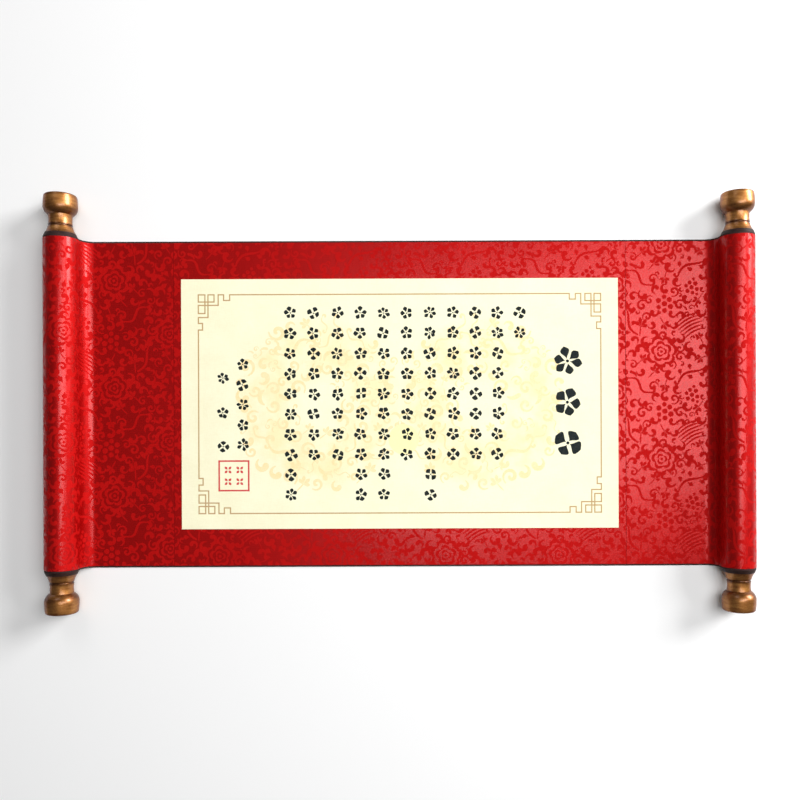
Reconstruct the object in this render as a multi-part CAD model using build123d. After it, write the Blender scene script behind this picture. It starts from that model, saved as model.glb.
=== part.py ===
from build123d import *
import math
import os

# An open hand scroll, lying face up. A brocade-faced sheet on a dark paper lining is wound three
# turns onto a rod at each end, and a letter panel is pasted in the middle of the flat stretch.
# Each rod ends in a dark ring and a turned wooden finial, which are pushed onto its tenons.
#
# Frame, in millimetres: X runs along the sheet from roll to roll, Y across it, from its lower to
# its upper edge, and Z up out of its face. The origin is under the middle of the sheet, on the
# surface that the lining and both rolls rest on.

# ---- Driving dimensions ----
axis_spacing = 611.0  # between the centre lines of the two rods

# Sheet
sheet_height = 300.0  # the lining's width, across the scroll
lining_thickness = 0.3
brocade_thickness = 0.4
brocade_border = 1.5  # bare lining along each long edge
turns = 3  # wound on each rod
winding_gap = 0.1  # air between one turn and the next
bend_radius = 10.0  # of the face, where the sheet comes down off a roll

# Letter panel
panel_length = 402.0
panel_height = 230.0
panel_thickness = 0.25
seam_margin = 7.0  # from each end of the panel to the seam between two brocade sections

# Rods
rod_diameter = 25.0
rod_glue_gap = 0.1  # between the rod and the innermost turn
tenon_diameter = 12.0
tenon_depth = 12.0  # how far a tenon reaches into its finial
tenon_chamfer = 0.8
tenon_clearance = 0.05  # all round, in the ring and the finial
tenon_end_gap = 1.0  # from the tenon's end to the bottom of the finial's bore

# End rings, tapering from the roll to the finial
ring_length = 3.4
ring_step = 0.5  # how far the ring lies inside the roll's outer turn
ring_taper = 1.4  # how much narrower it is at the finial

# Finials, from the ring outwards
collar_step = 0.1  # how far the collar lies inside the ring
collar_length = 6.4
collar_hollow = 0.35  # how far the collar's side curves in
groove_width = 1.4
groove_depth = 0.8
neck_radius = 10.4
neck_length = 9.0
neck_waist = 0.4  # how much slimmer the neck is at its middle
shoulder_length = 7.7  # from the neck to the knob's widest place
barrel_length = 8.6  # from there to the rounded end
barrel_taper = 0.6
knob_floor_gap = 0.1  # under the knob, when the scroll lies on a table
end_radius = 2.0
end_dome = 0.4
end_flat = 1.0  # radius of the small turned flat at the middle of the end

# ---- Sizes that follow ----
sheet_thickness = lining_thickness + brocade_thickness
pitch = sheet_thickness + winding_gap
roll_radius = rod_diameter / 2 + rod_glue_gap + sheet_thickness + (turns - 0.5) * pitch
axis_height = roll_radius - pitch / 2
rod_x = axis_spacing / 2
seam_x = panel_length / 2 + seam_margin

# The winding is a spiral of half circles. The upper ones have their centre half a pitch nearer
# to the middle of the scroll than the lower ones, which are centred on the rod.
upper_centre = (rod_x - pitch / 2, axis_height)
lower_centre = (rod_x, axis_height)

# The sheet leaves the first half circle for the bend where the two are tangent.
bend_height = sheet_thickness + bend_radius
bend_rise = axis_height - bend_height
bend_x = upper_centre[0] - math.sqrt((roll_radius + bend_radius) ** 2 - bend_rise**2)
bend_tilt = math.degrees(math.asin(bend_rise / (roll_radius + bend_radius)))


# ---- Sheet ----
def wound_surface(depth):
    """Arcs of the surface `depth` under the sheet's face, from the flat to the inner end."""
    arcs = [
        CenterArc((bend_x, bend_height), bend_radius + depth, -90, 90 + bend_tilt),
        CenterArc(upper_centre, roll_radius - depth, 0, 180 + bend_tilt),
    ]
    for turn in range(turns):
        radius = roll_radius - depth - turn * pitch
        if turn > 0:
            arcs.append(CenterArc(upper_centre, radius, 0, 180))
        arcs.append(CenterArc(lower_centre, radius - pitch / 2, 180, 180))
    return arcs


def inner_end(depth):
    """Where the surface `depth` under the face stops, against the rod."""
    return (rod_x - roll_radius + depth + (turns - 0.5) * pitch, axis_height)


def wound_layer(top_depth, bottom_depth, start_x, height):
    """Layer of the sheet between two depths, from `start_x` on the flat to the right-hand rod."""
    edges = wound_surface(top_depth) + wound_surface(bottom_depth)
    for depth in (top_depth, bottom_depth):
        level = sheet_thickness - depth
        edges.append(Line((start_x, level), (bend_x, level)))
    for end in (inner_end, lambda depth: (start_x, sheet_thickness - depth)):
        edges.append(Line(end(top_depth), end(bottom_depth)))
    return extrude(Plane.XZ * make_face(edges), height / 2, both=True)


def flat_layer(length, height, level, thickness):
    """A flat sheet, centred on the scroll, whose underside is at `level`."""
    centre = (Align.CENTER, Align.CENTER, Align.MIN)
    return Pos(0, 0, level) * Box(length, height, thickness, align=centre)


def make_lining():
    half = wound_layer(brocade_thickness, sheet_thickness, 0, sheet_height)
    return half + mirror(half, about=Plane.YZ)


brocade_height = sheet_height - 2 * brocade_border
brocade_right = wound_layer(0, brocade_thickness, seam_x, brocade_height)
brocade_left = mirror(brocade_right, about=Plane.YZ)
brocade_middle = flat_layer(2 * seam_x, brocade_height, lining_thickness, brocade_thickness)
letter_panel = flat_layer(panel_length, panel_height, sheet_thickness, panel_thickness)


# ---- Turned parts, each made about the Y axis ----
tenon_radius = tenon_diameter / 2
bore_radius = tenon_radius + tenon_clearance
ring_radius = roll_radius - ring_step
ring_end_radius = ring_radius - ring_taper
collar_radius = ring_end_radius - collar_step
knob_radius = axis_height - knob_floor_gap


def turned(profile):
    """Solid of revolution of a closed profile given as (radius, place along Y) edges."""
    return revolve(make_face(profile), axis=Axis.Y)


def make_rod():
    end = sheet_height / 2
    tip = end + ring_length + tenon_depth
    outline = [
        (0, -tip),
        (tenon_radius - tenon_chamfer, -tip),
        (tenon_radius, -tip + tenon_chamfer),
        (tenon_radius, -end),
        (rod_diameter / 2, -end),
        (rod_diameter / 2, end),
        (tenon_radius, end),
        (tenon_radius, tip - tenon_chamfer),
        (tenon_radius - tenon_chamfer, tip),
        (0, tip),
    ]
    return turned(Polyline(*outline, close=True))


def make_ring():
    """Ring whose wide side is on the plane Y = 0, and which tapers towards +Y."""
    outline = [
        (bore_radius, 0),
        (ring_radius, 0),
        (ring_end_radius, ring_length),
        (bore_radius, ring_length),
    ]
    return turned(Polyline(*outline, close=True))


def make_finial():
    """Finial that sits on the plane Y = 0 and points along +Y."""
    collar_end = (neck_radius + collar_step, collar_length)
    neck_start = (neck_radius, collar_length + groove_width)
    neck_end = (neck_radius, neck_start[1] + neck_length)
    widest = (knob_radius, neck_end[1] + shoulder_length)
    barrel_end = (knob_radius - barrel_taper, widest[1] + barrel_length)
    rim = (barrel_end[0] - end_radius, barrel_end[1] + end_radius)
    tip = (end_flat, rim[1] + end_dome)
    middle = (
        ((collar_radius + collar_end[0]) / 2 - collar_hollow, collar_length / 2),
        (neck_radius - groove_depth, collar_length + groove_width / 2),
        (neck_radius - neck_waist, (neck_start[1] + neck_end[1]) / 2),
    )
    bore_end = tenon_depth + tenon_end_gap
    profile = [
        Line((bore_radius, 0), (collar_radius, 0)),
        ThreePointArc((collar_radius, 0), middle[0], collar_end),
        ThreePointArc(collar_end, middle[1], neck_start),
        ThreePointArc(neck_start, middle[2], neck_end),
        TangentArc(widest, neck_end, tangent=(0, -1)),
        TangentArc(widest, barrel_end, tangent=(0, 1)),
        RadiusArc(barrel_end, rim, -end_radius),
        TangentArc(tip, rim, tangent=(1, 0)),
        Polyline(tip, (0, tip[1]), (0, bore_end), (bore_radius, bore_end), (bore_radius, 0)),
    ]
    return turned(profile)


# ---- Assembly ----
def on_rod(shape, side):
    """Places a piece made about the Y axis on the left (-1) or right (+1) rod."""
    return Pos(side * rod_x, 0, axis_height) * shape


def at_end(shape, distance, end):
    """Moves a piece that points along +Y to the upper (+1) or lower (-1) end of its rod."""
    placed = Pos(0, distance, 0) * shape
    return placed if end > 0 else Rot(0, 0, 180) * placed


nodes = {
    "lining": make_lining(),
    "brocade_left": brocade_left,
    "brocade_middle": brocade_middle,
    "brocade_right": brocade_right,
    "letter_panel": letter_panel,
}
for side_name, side in (("left", -1), ("right", 1)):
    nodes[f"rod_{side_name}"] = on_rod(make_rod(), side)
    for end_name, end in (("upper", 1), ("lower", -1)):
        ring = at_end(make_ring(), sheet_height / 2, end)
        finial = at_end(make_finial(), sheet_height / 2 + ring_length, end)
        nodes[f"end_ring_{end_name}_{side_name}"] = on_rod(ring, side)
        nodes[f"finial_{end_name}_{side_name}"] = on_rod(finial, side)

os.makedirs("parts", exist_ok=True)
for name, shape in nodes.items():
    export_step(shape, f"parts/{name}.step")
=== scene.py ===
import math
import random

import bpy
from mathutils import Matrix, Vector
from mathutils.geometry import delaunay_2d_cdt


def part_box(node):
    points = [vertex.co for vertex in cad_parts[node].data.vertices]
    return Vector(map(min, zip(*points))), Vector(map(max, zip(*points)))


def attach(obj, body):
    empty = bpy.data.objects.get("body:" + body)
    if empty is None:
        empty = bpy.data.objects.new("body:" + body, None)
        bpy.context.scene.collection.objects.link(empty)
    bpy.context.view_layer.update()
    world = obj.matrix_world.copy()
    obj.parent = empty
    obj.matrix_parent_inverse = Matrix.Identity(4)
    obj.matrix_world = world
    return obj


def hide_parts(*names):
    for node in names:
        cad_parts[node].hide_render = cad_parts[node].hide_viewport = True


# Looks of an open hand scroll. Lengths are in metres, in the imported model's frame. The sheet's
# layers are rebuilt as fine meshes on the same spiral as the model's, with the damask figure and
# the print laid into their faces. The rods, rings and finials are the model's own.

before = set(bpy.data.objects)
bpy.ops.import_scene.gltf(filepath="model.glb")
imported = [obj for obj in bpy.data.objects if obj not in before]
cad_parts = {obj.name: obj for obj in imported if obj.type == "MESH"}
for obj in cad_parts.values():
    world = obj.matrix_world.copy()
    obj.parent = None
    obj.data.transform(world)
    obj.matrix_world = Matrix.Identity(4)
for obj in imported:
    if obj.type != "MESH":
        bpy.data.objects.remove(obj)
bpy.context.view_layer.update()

MM = 0.001

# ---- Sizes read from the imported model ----
lining_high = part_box("lining")[1]
brocade_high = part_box("brocade_right")[1]
middle_low, middle_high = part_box("brocade_middle")
panel_low, panel_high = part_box("letter_panel")
rod_low, rod_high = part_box("rod_right")

LINING_THICKNESS = middle_low.z
SHEET_THICKNESS = panel_low.z
BROCADE_THICKNESS = SHEET_THICKNESS - LINING_THICKNESS
PANEL_HALF = (panel_high.x, panel_high.y)
SEAM_X = middle_high.x
BROCADE_HALF_HEIGHT = brocade_high.y
LINING_HALF_HEIGHT = lining_high.y

# ---- The winding, with the model's own values ----
WINDING_GAP = 0.1 * MM
BEND_RADIUS = 10 * MM
TURNS = 3
PITCH = SHEET_THICKNESS + WINDING_GAP
ROD_X = (rod_low.x + rod_high.x) / 2
AXIS_Z = (rod_low.z + rod_high.z) / 2
UPPER_CENTRE = (ROD_X - PITCH / 2, AXIS_Z)
LOWER_CENTRE = (ROD_X, AXIS_Z)
ROLL_RADIUS = brocade_high.x - UPPER_CENTRE[0]
BEND_RISE = AXIS_Z - SHEET_THICKNESS - BEND_RADIUS
BEND_X = UPPER_CENTRE[0] - math.sqrt((ROLL_RADIUS + BEND_RADIUS) ** 2 - BEND_RISE**2)
BEND_TILT = math.degrees(math.asin(BEND_RISE / (ROLL_RADIUS + BEND_RADIUS)))


# ================ Materials ================
NOISE_ROUGHNESS = 0.55
BLACK, WHITE = (0, 0, 0), (1, 1, 1)


class Nodes:
    """Short calls for building one material's node tree."""

    def __init__(self, name):
        self.material = bpy.data.materials.new(name)
        self.material.use_nodes = True
        self.tree = self.material.node_tree
        self.shader = self.tree.nodes["Principled BSDF"]

    def add(self, kind, **settings):
        node = self.tree.nodes.new(kind)
        for key, value in settings.items():
            setattr(node, key, value)
        return node

    def feed(self, value, socket):
        if isinstance(value, bpy.types.NodeSocket):
            self.tree.links.new(value, socket)
        else:
            socket.default_value = value

    def set(self, **sockets):
        for key, value in sockets.items():
            self.feed(value, self.shader.inputs[key.replace("_", " ")])

    def place(self, kind="Object", scale=(1, 1, 1)):
        source = self.add("ShaderNodeTexCoord").outputs[kind]
        mapping = self.add("ShaderNodeMapping")
        self.feed(source, mapping.inputs["Vector"])
        mapping.inputs["Scale"].default_value = scale
        return mapping.outputs["Vector"]

    def noise(self, vector, scale, detail):
        node = self.add("ShaderNodeTexNoise")
        self.feed(vector, node.inputs["Vector"])
        node.inputs["Scale"].default_value = scale
        node.inputs["Detail"].default_value = detail
        node.inputs["Roughness"].default_value = NOISE_ROUGHNESS
        return node.outputs["Fac"]

    def bands(self, vector, scale, direction, distortion=0.0):
        node = self.add("ShaderNodeTexWave")
        node.bands_direction = direction
        self.feed(vector, node.inputs["Vector"])
        node.inputs["Scale"].default_value = scale
        node.inputs["Distortion"].default_value = distortion
        return node.outputs["Fac"]

    def ramp(self, factor, stops):
        node = self.add("ShaderNodeValToRGB")
        self.feed(factor, node.inputs["Fac"])
        elements = node.color_ramp.elements
        while len(elements) < len(stops):
            elements.new(0.5)
        for element, (place, colour) in zip(elements, stops):
            element.position = place
            element.color = (*colour, 1)
        return node.outputs["Color"]

    def math(self, operation, first, second=0.0, third=0.0):
        node = self.add("ShaderNodeMath", operation=operation)
        for value, socket in zip((first, second, third), node.inputs):
            self.feed(value, socket)
        return node.outputs[0]

    def mix(self, factor, first, second, blend="MIX"):
        node = self.add("ShaderNodeMix", data_type="RGBA", blend_type=blend)
        self.feed(factor, node.inputs[0])
        for value, socket in ((first, node.inputs[6]), (second, node.inputs[7])):
            self.feed((*value, 1) if isinstance(value, tuple) else value, socket)
        return node.outputs[2]

    def bump(self, height, distance, strength):
        node = self.add("ShaderNodeBump")
        node.inputs["Strength"].default_value = strength
        node.inputs["Distance"].default_value = distance
        self.feed(height, node.inputs["Height"])
        return node.outputs["Normal"]

    def split(self, vector):
        """The X, Y and Z of a vector, each on its own."""
        node = self.add("ShaderNodeSeparateXYZ")
        self.feed(vector, node.inputs[0])
        return node.outputs

    def absolute(self, value):
        return self.math("ABSOLUTE", value)


THREAD = 0.38 * MM  # one warp thread's width


def bands_scale(period):
    """Scale of a wave texture whose bands repeat at this period."""
    return 2 * math.pi / (20 * period)


def silk(name, dark, light, roughness, weave, thread_depth):
    """Woven silk. Its threads run across the scroll, crossed by the weft at the weave's period."""
    n = Nodes(name)
    cloth = n.place("UV")
    warp = n.bands(cloth, bands_scale(THREAD), "X")
    weft = n.bands(cloth, bands_scale(weave), "Y", 0.6)
    threads = n.math("MULTIPLY_ADD", weft, 0.45, n.math("MULTIPLY", warp, 0.55))
    slubs = n.noise(n.place("UV", (1, 0.12, 1)), 900, 3)
    patches = n.noise(cloth, 22, 3)
    tone = n.math("MULTIPLY_ADD", patches, 0.45, n.math("MULTIPLY", slubs, 0.35))
    tone = n.math("MULTIPLY_ADD", threads, 0.2, tone)
    n.set(Base_Color=n.ramp(tone, [(0.3, dark), (0.68, light)]), Roughness=roughness)
    n.set(Normal=n.bump(threads, thread_depth, 0.5))
    return n


def make_ground():
    """Satin, with a sheen that pales it where a lamp shows in it."""
    dark, light = (0.34, 0.0006, 0.0006), (0.44, 0.0014, 0.0016)
    n = silk("satin_ground", dark, light, 0.45, 1.9 * MM, 0.03 * MM)
    n.set(Metallic=0.64, Specular_IOR_Level=0.08, Coat_Weight=0.5, Coat_Roughness=0.24)
    return n.material


def make_figure():
    """The figure's duller weave."""
    dark, light = (0.39, 0.003, 0.003), (0.5, 0.0075, 0.007)
    n = silk("damask_figure", dark, light, 0.55, 0.6 * MM, 0.07 * MM)
    n.set(Metallic=0.22, Specular_IOR_Level=0.04)
    return n.material


def make_cloth_edge():
    """Cut edges and the pressed-in line of a seam."""
    dark, light = (0.14, 0.001, 0.0015), (0.24, 0.0025, 0.003)
    n = silk("cloth_edge", dark, light, 0.8, 0.5 * MM, 0.05 * MM)
    n.set(Specular_IOR_Level=0.05)
    return n.material


def paper(name, dark, light, roughness, fibre_depth):
    """Handmade paper with short fibres lying every way."""
    n = Nodes(name)
    place = n.place()
    fibres = n.math("MULTIPLY", n.noise(n.place(scale=(1, 0.16, 1)), 1500, 2), 0.5)
    fibres = n.math("MULTIPLY_ADD", n.noise(n.place(scale=(0.16, 1, 1)), 1500, 2), 0.5, fibres)
    cloudy = n.noise(place, 30, 5)
    tone = n.math("MULTIPLY_ADD", fibres, 0.55, n.math("MULTIPLY", cloudy, 0.45))
    n.set(Base_Color=n.ramp(tone, [(0.35, dark), (0.65, light)]), Roughness=roughness)
    n.set(Normal=n.bump(fibres, fibre_depth, 0.6), Specular_IOR_Level=0.25)
    return n


RING_PLACE = 74.0  # from the panel's middle to that of each ring of scrollwork, in millimetres
WARM_RING = (78.0, 80.0)  # reach of the warmer paper along and across the scroll
SCROLL_RING = (76.0, 78.0)  # reach of the scrollwork


def make_cream_paper():
    """Cream paper, warmer in a cloudy ring on each side, under the scrollwork."""
    n = paper("cream_paper", (0.90, 0.862, 0.60), (0.97, 0.945, 0.695), 0.8, 0.03 * MM)
    plain = n.shader.inputs["Base Color"].links[0].from_socket
    place = n.split(n.place())
    from_middle = n.math("SUBTRACT", n.absolute(place["X"]), RING_PLACE * MM)
    across = n.math("DIVIDE", from_middle, WARM_RING[0] * MM)
    along = n.math("DIVIDE", place["Y"], WARM_RING[1] * MM)
    reach = n.math("MULTIPLY_ADD", along, along, n.math("MULTIPLY", across, across))
    ring = n.ramp(reach, [(0.04, BLACK), (0.25, WHITE), (0.65, WHITE), (1.0, BLACK)])
    clouds = n.ramp(n.noise(n.place(), 42, 4), [(0.38, (0.2, 0.2, 0.2)), (0.6, WHITE)])
    warm = n.mix(1.0, plain, (0.985, 0.92, 0.76), "MULTIPLY")
    n.set(Base_Color=n.mix(n.math("MULTIPLY", ring, clouds), plain, warm))
    return n.material


def print_on_paper(name, colour, cover):
    """Printed colour with the paper's fibres showing through it."""
    n = Nodes(name)
    grain = n.noise(n.place(), 900, 4)
    patchy = n.noise(n.place(), 160, 3)
    worn_and_shaded = n.ramp(n.math("MULTIPLY_ADD", grain, 0.6, n.math("MULTIPLY", patchy, 0.4)),
                  [(0.36, BLACK), (0.7, WHITE)])
    bare = (0.96, 0.9, 0.68)
    faded = tuple(c + (b - c) * (1 - cover) * 2 for c, b in zip(colour, bare))
    n.set(Base_Color=n.mix(worn_and_shaded, colour, faded), Roughness=0.7, Specular_IOR_Level=0.1)
    return n.material


def make_gilt():
    """Gold-bronze on turned wood, with painted shade darkening it in the groove, under the knob and
    at its rims.
    """
    n = Nodes("gilt_wood")
    place = n.place()
    streaks = n.noise(n.place(scale=(1, 5, 1)), 90, 5)
    speckle = n.noise(place, 700, 3)
    tone = n.math("MULTIPLY_ADD", streaks, 0.7, n.math("MULTIPLY", speckle, 0.3))
    gold = n.ramp(tone, [(0.34, (0.26, 0.088, 0.018)), (0.66, (0.52, 0.235, 0.06))])
    # Painted shade: the darker colour that the gilt takes where shade falls on it
    worn_and_shaded = n.ramp(tone, [(0.34, (0.07, 0.018, 0.003)), (0.66, (0.20, 0.07, 0.014))])
    low, high = (node.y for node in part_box("finial_upper_right"))
    from_foot = n.math("SUBTRACT", n.absolute(n.split(place)["Y"]), low)
    along = n.math("DIVIDE", from_foot, high - low)
    unshaded_gold_share = [(0, 0.35), (0.06, 0.95), (0.15, 0.85), (0.18, 0.0), (0.23, 0.05), (0.27, 0.9),
                 (0.42, 0.85), (0.5, 0.25), (0.6, 0.3), (0.7, 0.85), (0.9, 1.0), (0.95, 0.55),
                 (1.0, 0.5)]  # place along the finial, share of gold not darkened by painted shade
    # Painted shade mask by place along the finial: dark in the groove, on the shoulder under the
    # knob, at the foot and at the end
    painted_shade_mask = n.ramp(along, [(at, (share,) * 3) for at, share in unshaded_gold_share])
    n.set(Base_Color=n.mix(painted_shade_mask, worn_and_shaded, gold), Metallic=0.88, Coat_Weight=0.7, Coat_Roughness=0.24)
    n.set(Specular_Tint=(0.2, 0.09, 0.04, 1))
    n.set(Roughness=n.math("MULTIPLY_ADD", streaks, 0.14, 0.37))
    n.set(Normal=n.bump(streaks, 0.1 * MM, 0.25))
    return n.material


def make_lacquer():
    """Near-black lacquer with faint rings from the lathe."""
    n = Nodes("dark_lacquer")
    place = n.place()
    rings = n.bands(place, bands_scale(0.5 * MM), "Y", 1.0)
    tone = n.noise(n.place(scale=(1, 4, 1)), 160, 4)
    n.set(Base_Color=n.ramp(tone, [(0.35, (0.014, 0.005, 0.004)), (0.7, (0.04, 0.016, 0.013))]))
    n.set(Roughness=n.math("MULTIPLY_ADD", tone, 0.2, 0.45), Normal=n.bump(rings, 0.02 * MM, 0.3))
    n.set(Specular_IOR_Level=0.22)
    return n.material


def make_rod_wood():
    n = Nodes("bare_wood")
    grain = n.noise(n.place(scale=(12, 1, 12)), 60, 6)
    n.set(Base_Color=n.ramp(grain, [(0.3, (0.25, 0.13, 0.055)), (0.7, (0.5, 0.31, 0.15))]))
    n.set(Roughness=0.65, Normal=n.bump(grain, 0.1 * MM, 0.4))
    return n.material


CLOTH = [make_ground(), make_figure(), make_cloth_edge()]
lining_paper = paper("lining_paper", (0.016, 0.006, 0.006), (0.05, 0.022, 0.02), 0.8,
                     0.04 * MM).material
cream_paper = make_cream_paper()
PRINTS = {  # name, colour, cover
    "ornament": print_on_paper("ornament_yellow", (0.95, 0.74, 0.37), 0.75),
    "disc": print_on_paper("disc_yellow", (0.97, 0.9, 0.46), 0.85),
    "border": print_on_paper("border_tan", (0.50, 0.32, 0.13), 0.93),
    "seal": print_on_paper("seal_red", (0.62, 0.02, 0.03), 0.93),
    "ink": print_on_paper("ink", (0.003, 0.009, 0.012), 0.985),
}


# ================ Flat shapes, in millimetres ================
def moved(points, x, y, size=1.0, angle=0.0, flip=1):
    """Copy of a shape, flipped, sized, turned by an angle in degrees and moved."""
    c, s = math.cos(math.radians(angle)) * size, math.sin(math.radians(angle)) * size
    return [(x + c * px * flip - s * py, y + s * px * flip + c * py) for px, py in points]


def brush(line, widths):
    """Closed outline of a stroke along a line, with a round cap at each end."""
    count = len(line)
    left, right = [], []
    for i, ((x, y), width) in enumerate(zip(line, widths)):
        before, after = line[max(i - 1, 0)], line[min(i + 1, count - 1)]
        dx, dy = after[0] - before[0], after[1] - before[1]
        length = math.hypot(dx, dy)
        nx, ny = -dy / length * width / 2, dx / length * width / 2
        left.append((x + nx, y + ny))
        right.append((x - nx, y - ny))
    return left + cap(line[-1], left[-1]) + right[::-1] + cap(line[0], right[0])


def cap(centre, start, steps=4):
    """Points of the half circle that leaves `start` clockwise about the centre, ends left out."""
    x, y = start[0] - centre[0], start[1] - centre[1]
    points = []
    for k in range(1, steps):
        c, s = math.cos(-math.pi * k / steps), math.sin(-math.pi * k / steps)
        points.append((centre[0] + x * c - y * s, centre[1] + x * s + y * c))
    return points


def spiral(start, sweep, inner, outer, steps):
    """Points of a spiral from its inner to its outer radius, with angles in degrees."""
    points = []
    for k in range(steps + 1):
        t = k / steps
        a, r = math.radians(start + sweep * t), inner + (outer - inner) * t
        points.append((r * math.cos(a), r * math.sin(a)))
    return points


def taper(steps, first, middle, last):
    """Widths of a stroke that swells from its first to its middle width and thins to its last."""
    widths = []
    for k in range(steps + 1):
        t = k / steps
        widths.append(first * (1 - t) ** 2 + 2 * middle * t * (1 - t) + last * t * t)
    return widths


def disc(x, y, radius, steps):
    angles = [2 * math.pi * k / steps for k in range(steps)]
    return [(x + radius * math.cos(a), y + radius * math.sin(a)) for a in angles]


def petal(length, width, steps=5):
    """A rounded petal that points along +X from its narrow foot."""
    rim = [(length * k / steps, width / 2 * math.sin(math.pi * (k / steps) ** 1.6))
           for k in range(steps + 1)]
    return rim[::-1] + [(x, -y) for x, y in rim[1:-1]]


def hook():
    """A round head with a thick bent tail."""
    return [brush(spiral(150, 215, 0.42, 0.78, 9), taper(9, 0.78, 0.62, 0.16))]


def curl():
    """A spiral that thickens and thins away."""
    return [brush(spiral(40, 400, 0.14, 0.9, 16), taper(16, 0.3, 0.56, 0.16))]


def cloud():
    """A cloud head: two curls that face each other under a lobe, with a drifting tail."""
    shapes = []
    for flip in (1, -1):
        shapes += [moved(s, 0.56 * flip, 0, 0.52, 0, flip) for s in curl()]
    shapes.append(moved(brush(spiral(25, 130, 0.52, 0.52, 8), taper(8, 0.1, 0.46, 0.1)), 0, 0.42))
    tail = [(-0.1 + 0.2 * math.sin(2.6 * k / 7), -0.45 - 0.11 * k) for k in range(8)]
    shapes.append(brush(tail, taper(7, 0.28, 0.34, 0.08)))
    return shapes


def branch():
    """A crooked stem with buds on both sides."""
    line = [(-1 + 2 * k / 10, 0.24 * math.sin(4.6 * k / 10)) for k in range(11)]
    shapes = [brush(line, taper(10, 0.14, 0.26, 0.1))]
    for k, side in ((2, 1), (4, -1), (6, 1), (8, -1)):
        shapes.append(moved(petal(0.5, 0.34), line[k][0], line[k][1] + 0.14 * side, 1, 62 * side))
    return shapes + [moved(petal(0.42, 0.32), *line[10], 1, -10)]


def spray():
    """Leaves fanned on a short stem."""
    shapes = [brush([(-0.9, -0.25), (-0.5, -0.12), (-0.05, 0)], [0.1, 0.16, 0.12])]
    for angle, length in ((66, 0.8), (24, 1.0), (-18, 1.0), (-60, 0.75)):
        shapes.append(moved(petal(length, 0.4), 0, 0, 1, angle))
    return shapes


def reeds():
    """Parallel strokes that lean together."""
    shapes = []
    for k in range(6):
        y, length = -0.65 + 0.26 * k, 1.05 - 0.1 * abs(k - 2.5)
        line = [(-length + 2 * length * t / 6, y + 0.14 * math.sin(math.pi * t / 6))
                for t in range(7)]
        shapes.append(brush(line, taper(6, 0.07, 0.24, 0.05)))
    return shapes


def petal_ring(count, radius, length, width, shift):
    """Petals that lie round a circle, each across the radius like a cup."""
    shapes = []
    for k in range(count):
        cup = brush(spiral(-80, 160, length, length, 6), taper(6, 0.08, width * 2, 0.08))
        shapes.append(moved(moved(cup, radius - length, 0), 0, 0, 1, 360 * k / count + shift))
    return shapes


def rose():
    """A full flower of a heart and three rings of cupped petals."""
    shapes = [disc(0, 0, 0.1, 8)]
    for ring in ((3, 0.3, 0.17, 0.11, 0), (5, 0.6, 0.26, 0.16, 25), (7, 0.97, 0.34, 0.2, 8)):
        shapes += petal_ring(*ring)
    return shapes


def aster():
    """A flower of round petals about a ringed heart."""
    shapes = [brush(spiral(0, 345, 0.16, 0.16, 9), [0.11] * 10)]
    for k in range(8):
        angle = math.radians(45 * k)
        leaf = moved(petal(0.62, 0.4), 0, 0, 1, 45 * k)
        shapes.append(moved(leaf, 0.36 * math.cos(angle), 0.36 * math.sin(angle)))
    return shapes


def blossoms():
    """Round buds in a loose bunch."""
    buds = ((0, 0, 0.24), (0.52, 0.1, 0.22), (0.26, 0.52, 0.2), (-0.3, 0.48, 0.23), (-0.56, 0, 0.2),
            (-0.28, -0.5, 0.22), (0.32, -0.46, 0.24), (0.8, -0.34, 0.17), (-0.78, -0.42, 0.16))
    return [disc(x, y, size, 9) for x, y, size in buds]


def vine():
    """A stem that waves and hooks in at both ends."""
    line = [(-1 + 2 * k / 12, 0.26 * math.sin(2 * math.pi * k / 12)) for k in range(13)]
    shapes = [brush(line, taper(12, 0.1, 0.3, 0.1))]
    for turn in (0, 180):
        end = brush(spiral(-90, 240, 0.28, 0.12, 8), taper(8, 0.1, 0.32, 0.24))
        shapes.append(moved(moved(end, 1.0, 0.28), 0, 0, 1, turn))
    return shapes


# ================ Damask figure ================
TILE = (104.0, 99.0)  # repeat of the figure, along the scroll and across it
LARGE = [  # shape, place in the repeat, size and turn
    (rose, 24, 27, 14.0, 0),
    (rose, 77, 77, 13.0, 20),
    (aster, 75, 27, 11.5, 10),
    (blossoms, 27, 71, 11.0, 30),
    (branch, 50, 6, 12.5, 35),
    (branch, 100, 53, 12.0, 120),
    (reeds, 51, 51, 12.0, 28),
    (vine, 4, 95, 11.5, -35),
    (blossoms, 52, 86, 9.0, 100),
    (cloud, 98, 12, 9.0, 40),
    (spray, 5, 50, 9.0, 70),
]
SMALL = [  # shape, least and greatest size, share
    (hook, 4.6, 6.8, 0.6),
    (curl, 4.8, 6.0, 0.12),
    (cloud, 6.0, 7.4, 0.12),
    (spray, 6.0, 7.6, 0.14),
    (blossoms, 7.6, 9.0, 0.02),
]
TILE_SEED = 7
SMALL_TRIES, SMALL_GAP = 5000, 0.74  # a gap is a share of both shapes' sizes together
FILLER_TRIES, FILLER_GAP, FILLER_SIZE = 2500, 0.78, (2.4, 3.6)
LEFT_PHASE, MIDDLE_PHASE, RIGHT_PHASE = (31, -12), (18, 31), (9, 20)  # where the repeats start


def wrapped_gap(a, b):
    """Distance between two places in the repeat, over its edges too."""
    gaps = [min(abs(p - q), period - abs(p - q)) for p, q, period in zip(a, b, TILE)]
    return math.hypot(*gaps)


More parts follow.
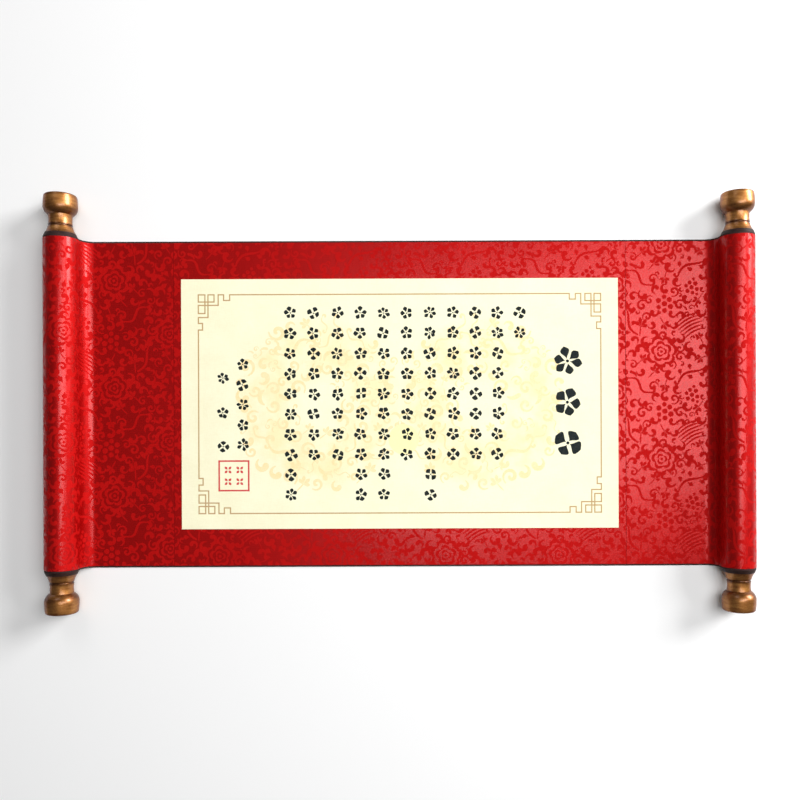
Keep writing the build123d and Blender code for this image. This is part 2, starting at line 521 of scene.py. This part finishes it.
def make_tile():
    """Outlines of one repeat: the large shapes, with small ones scattered in what is left, and
    then single hooks in the gaps."""
    rng = random.Random(TILE_SEED)
    placed = [(make, (x, y), size, turn, 1) for make, x, y, size, turn in LARGE]
    for _ in range(SMALL_TRIES):
        place = (rng.uniform(0, TILE[0]), rng.uniform(0, TILE[1]))
        make, low, high, _ = rng.choices(SMALL, [s[3] for s in SMALL])[0]
        size, turn, flip = rng.uniform(low, high), rng.uniform(0, 360), rng.choice((1, -1))
        if all(wrapped_gap(place, other[1]) > SMALL_GAP * (size + other[2]) for other in placed):
            placed.append((make, place, size, turn, flip))
    for _ in range(FILLER_TRIES):
        place = (rng.uniform(0, TILE[0]), rng.uniform(0, TILE[1]))
        size = rng.uniform(*FILLER_SIZE)
        if all(wrapped_gap(place, other[1]) > FILLER_GAP * (size + other[2]) for other in placed):
            placed.append((hook, place, size, rng.uniform(0, 360), 1))
    outlines = []
    for make, (x, y), size, turn, flip in placed:
        outlines += [moved(outline, x, y, size, turn, flip) for outline in make()]
    return outlines


def repeats(low, high, phase, period):
    """Where the repeats start that may reach into the stretch from low to high."""
    first, last = math.floor((low - phase) / period) - 1, math.ceil((high - phase) / period) + 1
    return [phase + k * period for k in range(first, last)]


def damask(low, high, phase, hidden=None):
    """Outlines of the figure over a rectangle of cloth, left out where `hidden` covers them."""
    tile = make_tile()
    found = []
    for dx in repeats(low[0], high[0], phase[0], TILE[0]):
        for dy in repeats(low[1], high[1], phase[1], TILE[1]):
            for outline in tile:
                shape = [(x + dx, y + dy) for x, y in outline]
                xs, ys = [p[0] for p in shape], [p[1] for p in shape]
                if max(xs) < low[0] or min(xs) > high[0] or max(ys) < low[1] or min(ys) > high[1]:
                    continue
                if hidden and max(map(abs, xs)) < hidden[0] and max(map(abs, ys)) < hidden[1]:
                    continue
                found.append(shape)
    return found


# ================ Sheets with shapes laid into their face ================
def anticlockwise(outline):
    """The outline in the order that the cutting needs."""
    area = sum(a[0] * b[1] - b[0] * a[1] for a, b in zip(outline, outline[1:] + outline[:1]))
    return outline if area > 0 else outline[::-1]


SAME_POINT = 1e-5  # points closer than this are one, in millimetres


def inlaid(low, high, layers, lines):
    """Triangles of a rectangle, in millimetres, cut along every outline and every line at constant
    x. Layers are lists of outlines, and a triangle takes the number of the last layer that covers
    it, or 0. Returns the points and (triangle, layer number) pairs."""
    points = [(low[0], low[1]), (high[0], low[1]), (high[0], high[1]), (low[0], high[1])]
    faces = [[0, 1, 2, 3]]
    owner = [0]
    for number, outlines in enumerate(layers, 1):
        for outline in outlines:
            faces.append(list(range(len(points), len(points) + len(outline))))
            points += anticlockwise(outline)
            owner.append(number)
    edges = []
    for x in lines:
        edges.append((len(points), len(points) + 1))
        points += [(x, low[1]), (x, high[1])]
    vectors = [Vector(p) for p in points]
    made, _, triangles, _, _, sources = delaunay_2d_cdt(vectors, edges, faces, 0, SAME_POINT)
    kept = [(t, max(owner[f] for f in s)) for t, s in zip(triangles, sources) if 0 in s]
    return made, kept


def closed_sheet(name, low, high, layers, lines, fold, thickness, materials):
    """A closed sheet: an inlaid face, its plain back and the cut edges between them. The face uses
    the materials in the layers' order, the back the first and the edges the last. `fold` gives the
    place and the face's normal, in metres, for a point of the flat cloth in millimetres."""
    flat, triangles = inlaid(low, high, layers, lines)
    folded = [fold(x, y) for x, y in flat]
    count = len(folded)
    vertices = [place for place, _ in folded]
    vertices += [place - normal * thickness for place, normal in folded]
    faces, indices, normals, edges = [], [], [], {}
    for (a, b, c), number in triangles:
        faces.append((a, b, c))
        indices.append(number)
        faces.append((c + count, b + count, a + count))
        indices.append(0)
        normals += [folded[k][1] for k in (a, b, c)] + [-folded[k][1] for k in (c, b, a)]
        edges.update({(a, b): None, (b, c): None, (c, a): None})
    for a, b in edges:
        if (b, a) in edges:
            continue
        faces.append((b, a, a + count, b + count))
        indices.append(len(materials) - 1)
        along = vertices[b] - vertices[a]
        outward = along.cross(folded[a][1]).normalized()
        normals += [outward] * 4
    mesh = bpy.data.meshes.new(name)
    mesh.from_pydata(vertices, [], faces)
    for material in materials:
        mesh.materials.append(material)
    mesh.polygons.foreach_set("material_index", indices)
    mesh.polygons.foreach_set("use_smooth", [True] * len(faces))
    uv = mesh.uv_layers.new(name="cloth")
    flat_places = [(x * MM, y * MM) for x, y in flat] * 2
    for loop in mesh.loops:
        uv.data[loop.index].uv = flat_places[loop.vertex_index]
    mesh.normals_split_custom_set(normals)
    mesh.update()
    piece = bpy.data.objects.new(name, mesh)
    bpy.context.scene.collection.objects.link(piece)
    return piece


SEAM_LINE = 0.22  # width of the pressed-in edge on each side of a seam


def rule(points, width):
    """Strips along a path of straight lines at right angles."""
    strips = []
    for (x0, y0), (x1, y1) in zip(points, points[1:]):
        low = (min(x0, x1) - width / 2, min(y0, y1) - width / 2)
        high = (max(x0, x1) + width / 2, max(y0, y1) + width / 2)
        strips.append([low, (high[0], low[1]), high, (low[0], high[1])])
    return strips


def seam_strip(x):
    """The pressed-in strip from the seam at 0 to `x`, over the cloth's full height."""
    half = BROCADE_HALF_HEIGHT / MM
    return [[(min(0, x), -half), (max(0, x), -half), (max(0, x), half), (min(0, x), half)]]


# ---- The wound stretch ----
BEND_STEP, OUTER_STEP, INNER_STEP = 6, 5, 12  # degrees between stations


def arc(centre, radius, start, sweep, step, hollow):
    """Stations along an arc in the XZ plane: place, face normal and length from the arc's start."""
    count = math.ceil(abs(sweep) / step)
    found = []
    for k in range(1, count + 1):
        a = math.radians(start + sweep * k / count)
        direction = Vector((math.cos(a), 0, math.sin(a)))
        place = Vector((centre[0], 0, centre[1])) + direction * radius
        length = math.radians(abs(sweep) * k / count) * radius
        found.append((place, -direction if hollow else direction, length))
    return found


def wound_path(start_x):
    """Stations of the face from `start_x` on the flat to the inner end on the right-hand rod:
    (place, normal, length so far, whether the place is on the outer turn)."""
    up = Vector((0, 0, 1))
    path = [(Vector((start_x, 0, SHEET_THICKNESS)), up, 0.0, True)]
    path.append((Vector((BEND_X, 0, SHEET_THICKNESS)), up, BEND_X - start_x, True))
    bend_centre = (BEND_X, SHEET_THICKNESS + BEND_RADIUS)
    stretches = [(arc(bend_centre, BEND_RADIUS, -90, 90 + BEND_TILT, BEND_STEP, True), True)]
    for turn in range(TURNS):
        radius = ROLL_RADIUS - turn * PITCH
        start = 180 + BEND_TILT if turn == 0 else 180
        step = OUTER_STEP if turn == 0 else INNER_STEP
        stretches.append((arc(UPPER_CENTRE, radius, start, -start, step, False), turn == 0))
        stretches.append((arc(LOWER_CENTRE, radius - PITCH / 2, 0, -180, step, False), turn == 0))
    for stretch, outer in stretches:
        done = path[-1][2]
        path += [(place, normal, done + length, outer) for place, normal, length in stretch]
    return path


def follow(path, side, depth=0.0):
    """Function that folds flat cloth, in millimetres, along the stations, on one side."""
    lengths = [station[2] for station in path]

    def fold(x, y):
        s = x * MM
        high = next((k for k in range(1, len(path)) if lengths[k] >= s - 1e-9), len(path) - 1)
        before, after = path[high - 1], path[high]
        share = (s - before[2]) / (after[2] - before[2])
        place = before[0].lerp(after[0], share)
        normal = before[1].lerp(after[1], share).normalized()
        place = place - normal * depth
        return Vector((side * place.x, y * MM, place.z)), Vector((side * normal.x, 0, normal.z))

    return fold


def make_brocade_end(name, side, phase):
    """A brocade section from its seam to its inner end on the left (-1) or right (+1) rod."""
    path = wound_path(SEAM_X)
    length = path[-1][2] / MM
    half = BROCADE_HALF_HEIGHT / MM
    outer = max(station[2] for station in path if station[3]) / MM
    shapes = damask((0, -half), (outer, half), phase)
    seam = seam_strip(SEAM_LINE)
    lines = [station[2] / MM for station in path[1:-1]]
    fold = follow(path, side)
    if side > 0:
        piece = closed_sheet(name, (0, -half), (length, half), [shapes, seam], lines, fold,
                             BROCADE_THICKNESS, CLOTH)
    else:
        piece = mirrored_sheet(name, half, length, [shapes, seam], lines, fold)
    return piece


def mirrored_sheet(name, half, length, layers, lines, fold):
    """The left-hand section: its flat cloth runs towards -X, so its faces keep their order."""
    turned = [[[(-x, y) for x, y in shape] for shape in shapes] for shapes in layers]
    return closed_sheet(name, (-length, -half), (0, half), turned, [-x for x in lines],
                        lambda x, y: fold(-x, y), BROCADE_THICKNESS, CLOTH)


def flat_fold(level):
    """A fold that leaves the cloth flat at this height."""
    return lambda x, y: (Vector((x * MM, y * MM, level)), Vector((0, 0, 1)))


def make_brocade_middle():
    """The section between the seams."""
    half = (SEAM_X / MM, BROCADE_HALF_HEIGHT / MM)
    hidden = [size / MM - 1 for size in PANEL_HALF]  # left plain to 1 mm inside the panel
    shapes = damask((-half[0], -half[1]), half, MIDDLE_PHASE, hidden)
    seams = []
    for side in (1, -1):
        seams += [moved(strip, side * half[0], 0) for strip in seam_strip(-side * SEAM_LINE)]
    piece = closed_sheet("middle_cloth", (-half[0], -half[1]), half, [shapes, seams], [],
                         flat_fold(SHEET_THICKNESS), BROCADE_THICKNESS, CLOTH)
    return piece


def make_lining():
    """The lining, one strip from inner end to inner end."""
    path = wound_path(0.0)
    length = path[-1][2] / MM
    half = LINING_HALF_HEIGHT / MM
    lines = [station[2] / MM for station in path[1:-1]]
    lines += [0.0] + [-x for x in lines]
    right, left = follow(path, 1, BROCADE_THICKNESS), follow(path, -1, BROCADE_THICKNESS)
    piece = closed_sheet("lining_sheet", (-length, -half), (length, half), [], lines,
                         lambda x, y: right(x, y) if x >= 0 else left(-x, y),
                         LINING_THICKNESS, [lining_paper])
    return piece


# ================ Print on the letter panel ================
BORDER_INSET = (15.8, 14.3)  # from the panel's ends and long sides
BORDER_LINE = 1.15
SEAL_PLACE, SEAL_HALF, SEAL_LINE = (-153.0, -66.0), 13.6, 1.5
DISC = (3.4, -33.0, 14.0)  # the plain disc's middle and radius
MARK_SEED, SCROLL_SEED = 11, 5
SCROLL_TRIES, SCROLL_GAP = 1500, 0.8


def corner_fret():
    """Key fret of one corner, in along +X and +Y from the border's corner, and where it ends."""
    box_x, box_y, near_x, near_y, far_x, far_y = 6.1, 6.6, 8.9, 9.7, 14.5, 17.2
    paths = [
        [(0, 0), (box_x, 0), (box_x, far_y), (0, far_y), (0, near_y), (18.3, near_y), (18.3, 0),
         (23.3, 0), (23.3, 5.2), (28.9, 5.2), (28.9, 0)],
        [(0, 0), (0, box_y), (far_x, box_y), (far_x, 0), (near_x, 0), (near_x, 20.9), (0, 20.9),
         (0, 26.3), (3.8, 26.3), (3.8, 32.4), (0, 32.4)],
    ]
    shapes = []
    for path in paths:
        shapes += rule(path, BORDER_LINE)
    return shapes, (28.9, 32.4)


def border():
    """The border's lines, with a fret in each corner."""
    half = [size / MM - inset for size, inset in zip(PANEL_HALF, BORDER_INSET)]
    fret, end = corner_fret()
    shapes = []
    for sx in (1, -1):
        for sy in (1, -1):
            for shape in fret:
                shapes.append([(sx * (x - half[0]), sy * (half[1] - y)) for x, y in shape])
    reach = [size - used for size, used in zip(half, end)]
    for side in (1, -1):
        shapes += rule([(-reach[0], side * half[1]), (reach[0], side * half[1])], BORDER_LINE)
        shapes += rule([(side * half[0], -reach[1]), (side * half[0], reach[1])], BORDER_LINE)
    return shapes


# Columns of brush marks: x, highest mark, spacing, number of marks, size of a mark
COLUMNS = [
    (154.5, 38.5, 37.5, 3, 27.0),
    (110.3, 83.5, 18.6, 2, 11.8),
    (90.0, 83.5, 18.6, 8, 11.8),
    (69.8, 83.5, 18.6, 8, 11.8),
    (49.2, 83.5, 18.6, 8, 11.8),
    (27.9, 83.5, 18.6, 10, 11.8),
    (6.5, 83.5, 18.6, 8, 11.8),
    (-14.9, 83.5, 18.6, 10, 11.8),
    (-36.1, 83.5, 18.6, 10, 11.8),
    (-57.3, 83.5, 18.6, 8, 11.8),
    (-79.3, 83.5, 18.6, 8, 11.8),
    (-100.5, 83.5, 18.6, 10, 11.8),
    (-144.7, 36.6, 18.6, 5, 11.4),
    (-163.1, 23.7, 31.3, 3, 11.0),
]


def blossom_mark(rng, x, y, size):
    """A brush mark: a small ink blossom of pressed petals, no two alike."""
    count, turn = rng.choice((4, 5, 5, 6)), rng.uniform(0, 360)
    shapes = [disc(x, y, size * 0.055, 8)]
    for k in range(count):
        angle = turn + 360 * k / count + rng.uniform(-9, 9)
        dab = petal(size * rng.uniform(0.38, 0.48), size * rng.uniform(1.55, 1.95) / count, 9)
        dab = moved(dab, size * 0.07, 0)
        shapes.append(moved(dab, x, y, 1, angle))
    return shapes


def brush_marks():
    """All columns of marks, each mark a little off its place."""
    rng = random.Random(MARK_SEED)
    shapes = []
    for x, top, spacing, count, size in COLUMNS:
        for k in range(count):
            dx, dy = rng.uniform(-0.4, 0.4), rng.uniform(-0.4, 0.4)
            shapes += blossom_mark(rng, x + dx, top - k * spacing + dy, size)
    return shapes


def seal():
    """A square frame with a four-petalled flower in each quarter."""
    middle_x, middle_y = SEAL_PLACE
    corners = [(-1, -1), (1, -1), (1, 1), (-1, 1), (-1, -1)]
    sides = [(middle_x + x * SEAL_HALF, middle_y + y * SEAL_HALF) for x, y in corners]
    shapes = rule(sides, SEAL_LINE)
    leaf = [(0.7 + 3.6 * t / 6, 1.15 * math.sin(math.pi * t / 6)) for t in range(7)]
    leaf += [(x, -y) for x, y in reversed(leaf[1:-1])]
    for dx in (-5.4, 5.4):
        for dy in (-5.4, 5.4):
            for angle in (45, 135, 225, 315):
                shapes.append(moved(leaf, middle_x + dx, middle_y + dy, 1, angle))
    return shapes


def ornament():
    """Pale scrollwork scattered in a wide ring, the same on both sides."""
    rng = random.Random(SCROLL_SEED)
    placed = [(cloud, 60, 36, 13, -30), (cloud, 116, 6, 14, -90), (cloud, 66, -52, 13, 200),
              (vine, 96, 52, 15, -25), (vine, 108, -44, 15, 30), (cloud, 26, 6, 10, 60)]
    for _ in range(SCROLL_TRIES):
        x, y = rng.uniform(6, 150), rng.uniform(-76, 78)
        make, size = rng.choice((curl, curl, cloud, vine, spray, hook)), rng.uniform(5.5, 9.5)
        apart = all(math.hypot(x - px, y - py) > SCROLL_GAP * (size + taken)
                    for _, px, py, taken, _ in placed)
        reach = math.hypot((x - RING_PLACE) / SCROLL_RING[0], y / SCROLL_RING[1])
        if apart and 0.3 < reach < 1:
            placed.append((make, x, y, size, rng.uniform(0, 360)))
    shapes = []
    for make, x, y, size, turn in placed:
        for shape in make():
            once = moved(shape, x, y, size, turn)
            shapes += [once, [(-px, py) for px, py in once]]
    return shapes


def make_panel():
    """The letter panel, with its print in layers, the last on top."""
    half = [size / MM for size in PANEL_HALF]
    layers = {"ornament": ornament(), "disc": [disc(*DISC, 32)], "border": border(),
              "seal": seal(), "ink": brush_marks()}
    materials = [cream_paper] + [PRINTS[name] for name in layers] + [cream_paper]
    piece = closed_sheet("letter_sheet", (-half[0], -half[1]), half, list(layers.values()), [],
                         flat_fold(panel_high.z), panel_high.z - panel_low.z, materials)
    return piece


# ================ Pieces ================
for piece, node, slot in (
    (make_brocade_end("left_cloth", -1, LEFT_PHASE), "brocade_left", "brocade"),
    (make_brocade_end("right_cloth", 1, RIGHT_PHASE), "brocade_right", "brocade"),
    (make_brocade_middle(), "brocade_middle", "brocade"),
    (make_lining(), "lining", "lining"),
    (make_panel(), "letter_panel", "panel"),
):
    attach(piece, "root")
    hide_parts(node)

gilt, lacquer, rod_wood = make_gilt(), make_lacquer(), make_rod_wood()
for name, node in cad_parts.items():
    for start, material in (("finial", gilt), ("end_ring", lacquer), ("rod", rod_wood)):
        if name.startswith(start):
            node.data.materials.clear()
            node.data.materials.append(material)


# ================ Stage, light and camera ================
FLOOR_HALF = 20.0
FLOOR_DROP = 0.2 * MM  # below the scroll
WORLD_STRENGTH = 0.11
LAMPS = [  # name, place, aim, size and watts
    ("overhead_right", (0.57, 0.12, 1.5), (0.15, 0, 0), (0.64, 1.4), 18.5),
    ("side_right", (2.9, 1.5, 1.15), (0, 0, 0), (1.5, 1.5), 158),
    ("back_fill", (-0.7, 1.6, 1.4), (-0.15, 0, 0), (1.0, 1.0), 6),
]
LENS, SENSOR = 35.15, 36.0
LENS_SHIFT = (-0.0145, 0.041)
CAMERA_PLACE = (10.7 * MM, -27 * MM, 720 * MM)  # it looks straight down
CAMERA_TURN = -0.2235  # degrees


def make_floor():
    n = Nodes("floor")
    n.set(Base_Color=(0.92, 0.92, 0.92, 1), Roughness=0.9, Specular_IOR_Level=0.1)
    mesh = bpy.data.meshes.new("floor")
    corners = [(x * FLOOR_HALF, y * FLOOR_HALF, 0) for x, y in ((-1, -1), (1, -1), (1, 1), (-1, 1))]
    mesh.from_pydata(corners, [], [(0, 1, 2, 3)])
    mesh.materials.append(n.material)
    floor = bpy.data.objects.new("floor", mesh)
    floor.location.z = -FLOOR_DROP
    bpy.context.scene.collection.objects.link(floor)


def area_light(name, place, target, size, power):
    light = bpy.data.lights.new(name, "AREA")
    light.shape = "RECTANGLE"
    light.size, light.size_y = size
    light.energy = power
    lamp = bpy.data.objects.new(name, light)
    lamp.location = place
    lamp.rotation_euler = (Vector(target) - Vector(place)).to_track_quat("-Z", "Y").to_euler()
    bpy.context.scene.collection.objects.link(lamp)


def make_light():
    world = bpy.data.worlds.new("studio")
    world.use_nodes = True
    background = world.node_tree.nodes["Background"].inputs
    background["Color"].default_value = (1, 1, 1, 1)
    background["Strength"].default_value = WORLD_STRENGTH
    bpy.context.scene.world = world
    for lamp in LAMPS:
        area_light(*lamp)


def make_camera():
    data = bpy.data.cameras.new("camera")
    data.lens, data.sensor_width = LENS, SENSOR
    data.shift_x, data.shift_y = LENS_SHIFT
    camera = bpy.data.objects.new("camera", data)
    camera.location = CAMERA_PLACE
    camera.rotation_euler = (0, 0, math.radians(CAMERA_TURN))
    bpy.context.scene.collection.objects.link(camera)
    bpy.context.scene.camera = camera


make_floor()
make_light()
make_camera()
bpy.context.scene.view_settings.view_transform = "Standard"
